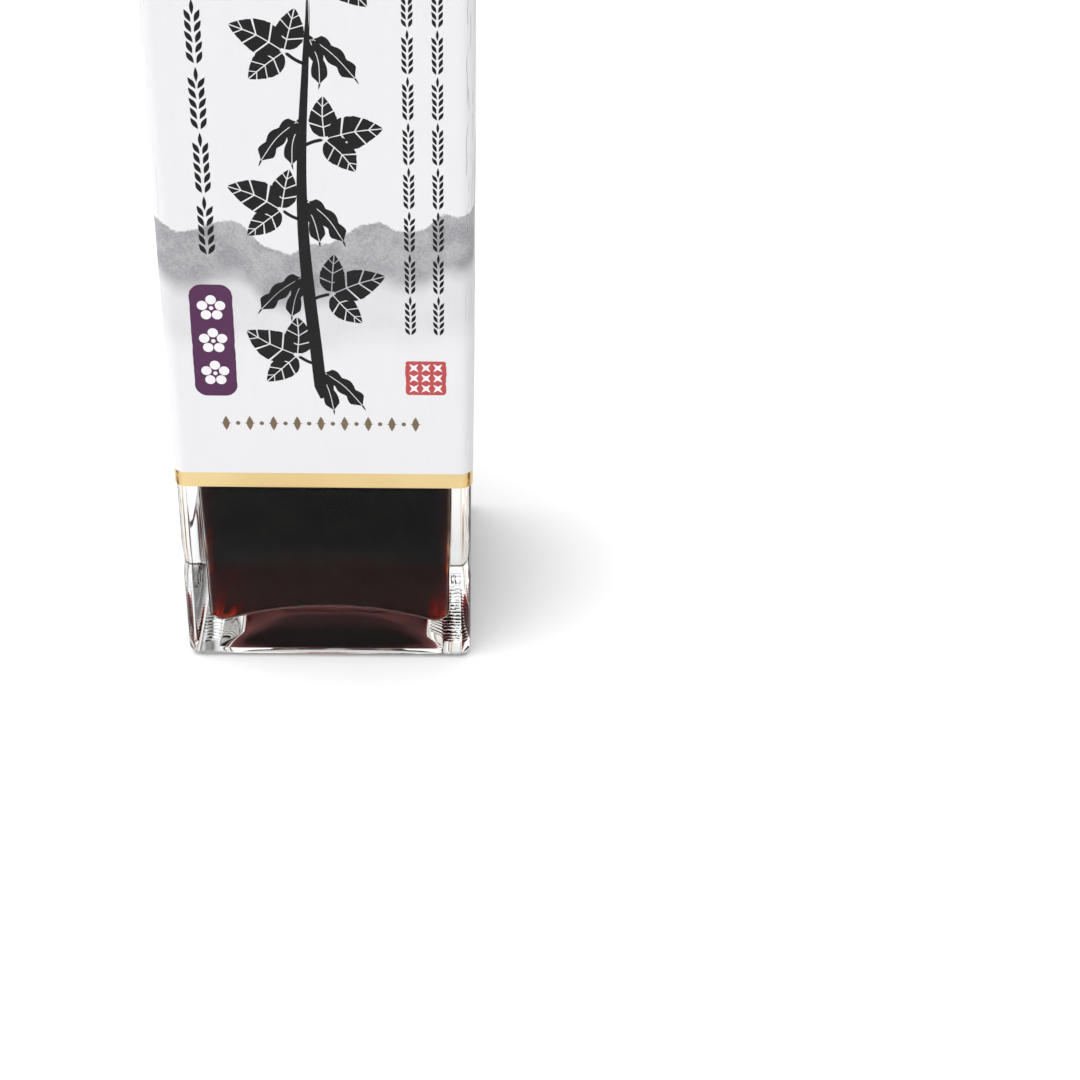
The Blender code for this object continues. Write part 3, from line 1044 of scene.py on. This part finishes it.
def lozenge_rule(ink, middle, v, marks, pitch):
    """A row of lozenges and dots in turn."""
    for mark in range(marks):
        place = Vector((middle + pitch * (mark - (marks - 1) / 2), v))
        if mark % 2:
            disc(ink, place, 0.42)
        else:
            grain(ink, place, 90, 3.0, 1.25)
            grain(ink, place, 0, 1.9, 0.5)


def lattice(ink, middle, pitch, reach):
    """Crossing grains on a square grid, from -reach to reach columns and rows."""
    for column in range(-reach, reach + 1):
        for row in range(-reach, reach + 1):
            for angle in (45, 135):
                grain(ink, middle + pitch * Vector((column, row)), angle, 1.04 * pitch, 0.28 * pitch)


# Places and sizes on the front
COLUMN_TOP = 152.0
FINE_EAR = 2.1
LARGE_EAR = 3.0
LEFT_COLUMN = -19.0
RULE_LEVEL = 55.0
RULE_PITCH = 2.2
PURPLE_FIELD = Vector((LEFT_COLUMN, 72.5))
BLOSSOM_PITCH = 6.8
RED_FIELD = Vector((19.6, 65.0))


def print_front(black, brown, purple, red, white, rng):
    """A bean sprig between ears of wheat, a purple field of blossoms, a red lattice and a rule."""
    bean_sprig(black, -0.6, 60.5, 146.0, 9.9, rng)
    wheat_column(black, LEFT_COLUMN, 90.0, COLUMN_TOP, LARGE_EAR, rng)
    for u in (16.9, 22.0):
        wheat_column(black, u, 74.0, COLUMN_TOP, FINE_EAR, rng)
    rounded_field(purple, PURPLE_FIELD, 3.9, 11.6, 2.3, 0.14)
    for row in (1, 0, -1):
        blossom(white, PURPLE_FIELD + Vector((0, row * BLOSSOM_PITCH)), 5.0)
    rounded_field(red, RED_FIELD, 3.7, 3.6, 0.5, 0.2)
    lattice(white, RED_FIELD, 2.2, 1)
    lozenge_rule(brown, 0, RULE_LEVEL, 17, RULE_PITCH)


def print_other_faces(black, brown, rng):
    """Quiet ornaments on the sides and the back."""
    pitch = FACE_PITCH / MM
    for face in (1, 2, 3):
        middle = face * pitch
        for offset in (-20.5, 20.5):
            wheat_column(black, middle + offset, 62.0, 150.0, FINE_EAR, rng)
        lozenge_rule(brown, middle, RULE_LEVEL, 9, RULE_PITCH)
        for level in (72.0, 142.0):
            blossom(brown, Vector((middle, level)), 8.0)
    bean_sprig(black, 2 * pitch, 82.0, 126.0, 6.0, rng)


def make_print():
    rng = random.Random(7)
    black, brown, purple, red, white = Ink(), Ink(), Ink(), Ink(), Ink()
    print_front(black, brown, purple, red, white, rng)
    print_other_faces(black, brown, rng)
    for ink, name, dense, thin, lift in (
            (black, "black_ink", (0.010, 0.010, 0.011, 1), (0.022, 0.022, 0.024, 1), INK_LIFT),
            (brown, "brown_ink", (0.16, 0.115, 0.070, 1), (0.24, 0.185, 0.125, 1), INK_LIFT),
            (purple, "purple_ink", (0.080, 0.026, 0.074, 1), (0.10, 0.040, 0.095, 1), INK_LIFT),
            (red, "red_ink", (0.42, 0.066, 0.068, 1), (0.50, 0.13, 0.125, 1), INK_LIFT),
            (white, "white_ink", (0.74, 0.72, 0.74, 1), (0.66, 0.60, 0.65, 1), 2 * INK_LIFT)):
        ink.lay(name, ink_material(name, dense, thin), lift)


def make_lap(paper):
    """The end of the wrapped paper, over its start, near the back's left corner, with its fine shadow."""
    edge = (2 * FACE_PITCH + PAPER_REACH) / MM - LAP_FROM_CORNER
    low, high = BAND_HIGH.z / MM, UPPER_BAND_LOW.z / MM
    lap = Ink()
    lap.strip([Vector((edge, low)), Vector((edge, high))],
              [Vector((edge - LAP_WIDTH, low)), Vector((edge - LAP_WIDTH, high))])
    lap.lay("label_lap", paper, LAP_LIFT)
    shadow = Ink()
    shadow.strip([Vector((edge + LAP_SHADOW, low)), Vector((edge + LAP_SHADOW, high))],
                 [Vector((edge, low)), Vector((edge, high))])
    grey = ink_material("lap_shadow", (0.34, 0.34, 0.35, 1), (0.42, 0.42, 0.43, 1))
    shadow.lay("label_lap_shadow", grey, LAP_LIFT)


def make_label():
    paper = paper_material()
    gold = foil_material()
    wrap = make_wrap("label_paper", BAND_HIGH.z, UPPER_BAND_LOW.z, PAPER_INSIDE, PAPER_OUTSIDE, paper)
    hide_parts("paper_label")
    for name, low, high in (("gold_band_lower", BAND_LOW.z, BAND_HIGH.z),
                            ("gold_band_upper", UPPER_BAND_LOW.z, UPPER_BAND_HIGH.z)):
        band = make_wrap("foil_" + name, low, high, PAPER_INSIDE, PAPER_OUTSIDE, gold)
        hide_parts(name)
    make_lap(paper)
    make_print()


# Cap

CAP_RADIUS = CAP_HIGH.x
CAP_WALL = 1.3 * MM
CAP_TOP_THICKNESS = 1.4 * MM
CAP_EDGE = 1.5 * MM
CAP_HEIGHT = CAP_HIGH.z - CAP_LOW.z
CAP_DISH = 0.3 * MM
RIBS = 108
RIB_POINTS = 6
RIB_DEPTH = 0.42 * MM
BRIDGES = 12
BRIDGE_LIFT = 0.45 * MM
BRIDGE_COSINE = 0.9
CAP_COLOR = (0.006, 0.006, 0.0065, 1)
RUBBED_CAP_COLOR = (0.024, 0.024, 0.025, 1)


def cap_ring(inset, height, rib=0.0, bridge=0.0):
    """A section of the cap, with grooves between its ribs, or with the bridges to the tamper ring."""
    points = []
    count = RIBS * RIB_POINTS
    for index in range(count):
        turn = 2 * math.pi * index / count
        groove = (0.5 + 0.5 * math.cos(RIBS * turn)) ** 1.5
        joined = 1.0 if math.cos(BRIDGES * turn) > BRIDGE_COSINE else 0.0
        radius = CAP_RADIUS - inset - RIB_DEPTH * rib * groove + BRIDGE_LIFT * bridge * joined
        points.append(Vector((radius * math.cos(turn), radius * math.sin(turn), CAP_LOW.z + height)))
    return points


def cap_rings():
    """From the middle of the cap's ceiling down its bore, round its open edge, up and in over its top."""
    ceiling = CAP_HEIGHT - CAP_TOP_THICKNESS
    rings = [
        cap_ring(CAP_RADIUS - 1 * MM, ceiling),
        cap_ring(CAP_WALL + 0.5 * MM, ceiling),
        cap_ring(CAP_WALL, ceiling - 0.5 * MM),
        cap_ring(CAP_WALL, 0.3 * MM),
        cap_ring(CAP_WALL - 0.2 * MM, 0.0),
    ]
    tamper = ((0.35, 0.0), (0.12, 0.1), (0.0, 0.35), (0.0, 3.80), (0.08, 4.02), (0.25, 4.12))
    rings += [cap_ring(inset * MM, height * MM) for inset, height in tamper]
    rings += [cap_ring(0.62 * MM, height * MM, bridge=1.0) for height in (4.15, 4.65)]
    lower_edge = ((0.25, 4.70), (0.08, 4.80), (0.0, 5.05))
    rings += [cap_ring(inset * MM, height * MM) for inset, height in lower_edge]
    ribbed = ((0.0, 5.6), (0.35, 5.8), (0.8, 6.1), (1.0, 6.5), (1.0, 9.0), (1.0, 12.0),
              (1.0, 15.0), (1.0, 16.9), (0.8, 17.3), (0.35, 17.6), (0.0, 17.8))
    rings += [cap_ring(0.0, height * MM, rib=share) for share, height in ribbed]
    for step in range(9):
        angle = QUARTER * step / 8
        inset = CAP_EDGE * (1 - math.cos(angle))
        rings.append(cap_ring(inset, CAP_HEIGHT - CAP_EDGE * (1 - math.sin(angle))))
    dish = ((2.4, 0.0), (2.7, 0.15), (3.1, 0.85), (3.4, 1.0), (14.8, 1.0))
    rings += [cap_ring(inset * MM, CAP_HEIGHT - CAP_DISH * drop) for inset, drop in dish]
    return rings


def cap_material():
    """Satin black plastic, with a fine grain and slightly rubbed ribs."""
    material, tree, shader = new_material("black_plastic")
    place = add_node(tree, "ShaderNodeTexCoord").outputs["Object"]
    fine = noise_field(tree, place, 1800, 3.0)
    rubbed = noise_field(tree, place, 160, 4.0)
    flat = stretched(tree, place, (1, 1, 0))
    out = add_node(tree, "ShaderNodeVectorMath", {0: flat}, operation="LENGTH").outputs["Value"]
    wear = math_node(tree, "MULTIPLY", ramp(tree, out, CAP_RADIUS - 0.16 * MM, CAP_RADIUS),
                     ramp(tree, rubbed, 0.42, 0.68, 0.1, 0.9))
    tree.links.new(blend(tree, wear, CAP_COLOR, RUBBED_CAP_COLOR), shader.inputs["Base Color"])
    shader.inputs["Specular IOR Level"].default_value = 0.28
    tree.links.new(ramp(tree, rubbed, 0.3, 0.7, 0.26, 0.40), shader.inputs["Roughness"])
    bump = add_node(tree, "ShaderNodeBump", {"Height": fine, "Strength": 0.15, "Distance": 0.02 * MM})
    tree.links.new(bump.outputs["Normal"], shader.inputs["Normal"])
    return material


def make_cap():
    points, faces = skin(cap_rings())
    cap = add_piece("black_cap", points, faces, cap_material())
    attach(cap, "root")
    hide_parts("screw_cap")


make_camera()
make_floor()
make_world()
set_look()
make_glass()
make_sauce()
make_label()
make_cap()
